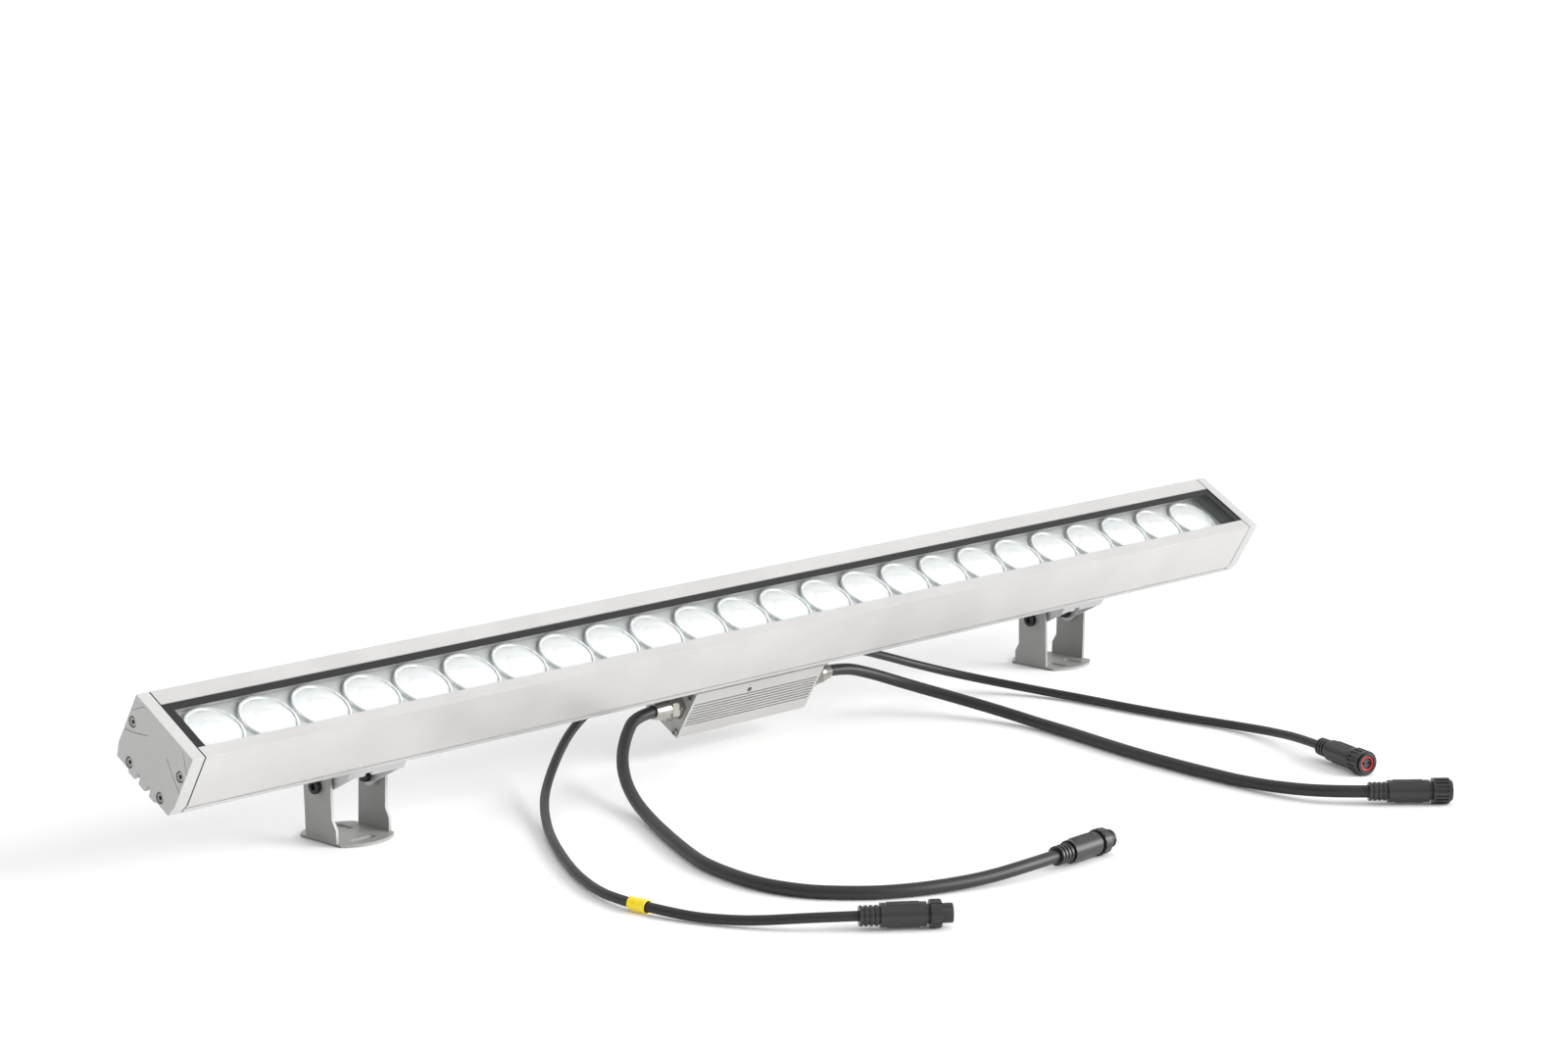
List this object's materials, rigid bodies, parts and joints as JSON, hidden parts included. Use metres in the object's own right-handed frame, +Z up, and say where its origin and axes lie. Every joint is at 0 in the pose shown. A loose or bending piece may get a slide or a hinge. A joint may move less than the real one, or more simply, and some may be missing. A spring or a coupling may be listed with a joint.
{
  "type": "wall washer light",
  "caption": "Long linear wall washer in an extruded housing with a row of lenses, tilting on sliding folded brackets, with cable leads ending in screw connectors.",
  "frame": {"origin": "on the floor, under the middle of the lamp's own box (cords left out)", "axes": "+X along the lamp, +Y towards its back, +Z up"},
  "size_m": [1, 0.478, 0.1199],
  "materials": {
    "anodised_aluminium": "satin silver anodised extrusion",
    "cast_cap": "die-cast, fine satin grey coat",
    "black_rubber": "black silicone, matte",
    "clear_glass": "clear tempered glass",
    "lens_plastic": "moulded clear acrylic over white, glossy",
    "board_white": "white solder mask",
    "emitter": "phosphor square",
    "tray_grey": "grey moulded tray",
    "screw_steel": "socket screws, dark oxide",
    "bright_steel": "plain steel",
    "nickel": "nickel-plated brass",
    "cord_rubber": "black rubber jacket",
    "connector_plastic": "black moulded polyamide",
    "insert_grey": "grey contact carrier",
    "seal_red": "red silicone ring",
    "tag_yellow": "yellow sleeve, bare",
    "bracket_coat": "grey coated folded sheet",
    "slider_metal": "milled aluminium",
    "driver_board_green": "green circuit board",
    "coil_yellow": "taped winding",
    "can_black": "sleeved capacitor",
    "lead_white": "lead insulation"
  },
  "bodies": {
    "root": {"board_screws": "bright_steel", "cable_tag": "tag_yellow", "connector_a": "connector_plastic", "connector_b": "connector_plastic", "connector_c": "connector_plastic", "connector_d": "connector_plastic", "contact_insert_a": "insert_grey", "contact_insert_b": "insert_grey", "contact_insert_c": "insert_grey", "contact_insert_d": "insert_grey", "cover_glass": "clear_glass", "data_cord_left": "cord_rubber", "data_cord_right": "cord_rubber", "driver_board": "driver_board_green", "driver_capacitors": "can_black", "driver_case": "anodised_aluminium", "driver_clamp_screws": "bright_steel", "driver_clamps": "slider_metal", "driver_inductor": "coil_yellow", "driver_plate_left": "cast_cap", "driver_plate_right": "cast_cap", "driver_screws": "screw_steel", "driver_transformer": "coil_yellow", "end_cap_left": "cast_cap", "end_cap_right": "cast_cap", "end_gasket_left": "black_rubber", "end_gasket_right": "black_rubber", "end_screws": "screw_steel", "gland_body_a": "nickel", "gland_body_b": "nickel", "gland_body_c": "nickel", "gland_body_d": "nickel", "gland_nut_a": "nickel", "gland_nut_b": "nickel", "gland_nut_c": "nickel", "gland_nut_d": "nickel", "glass_seal": "black_rubber", "housing": "anodised_aluminium", "lead_conduit": "black_rubber", "lead_wire": "lead_white", "led_board": "board_white", "led_chips": "emitter", "lens_strip_1": "lens_plastic", "lens_strip_2": "lens_plastic", "lens_strip_3": "lens_plastic", "lens_strip_4": "lens_plastic", "lens_tray": "tray_grey", "power_cord_left": "cord_rubber", "power_cord_right": "cord_rubber", "socket_seals": "seal_red"},
    "slider_left": {"slider_left": "slider_metal", "slider_screws_left": "bright_steel", "pivot_bolts_left": "screw_steel"},
    "bracket_left": {"bracket_left": "bracket_coat"},
    "slider_right": {"slider_right": "slider_metal", "slider_screws_right": "bright_steel", "pivot_bolts_right": "screw_steel"},
    "bracket_right": {"bracket_right": "bracket_coat"},
    "union_nut_c": {"union_nut_c": "connector_plastic"},
    "union_nut_d": {"union_nut_d": "connector_plastic"}
  },
  "joints": [
    {"name": "slider_left_slide", "type": "slide", "parent": "root", "child": "slider_left", "axis": [1, 0, 0], "range_m": [-0.125, 0.075]},
    {"name": "bracket_left_tilt", "type": "hinge", "parent": "slider_left", "child": "bracket_left", "pos_m": [-0.333, 0.0192, 0.0358], "axis": [1, 0, 0], "range_deg": [-59.6, 120.4]},
    {"name": "slider_right_slide", "type": "slide", "parent": "root", "child": "slider_right", "axis": [1, 0, 0], "range_m": [-0.045, 0.12]},
    {"name": "bracket_right_tilt", "type": "hinge", "parent": "slider_right", "child": "bracket_right", "pos_m": [0.34, 0.0192, 0.0358], "axis": [1, 0, 0], "range_deg": [-59.6, 120.4]},
    {"name": "union_nut_c_turn", "type": "hinge", "parent": "root", "child": "union_nut_c", "pos_m": [0.19761, -0.42133, 0.0084], "axis": [0.722, -0.6919, 0], "continuous": true},
    {"name": "union_nut_d_turn", "type": "hinge", "parent": "root", "child": "union_nut_d", "pos_m": [0.22479, -0.341, 0.0084], "axis": [-0.3437, -0.9391, 0], "continuous": true}
  ]
}
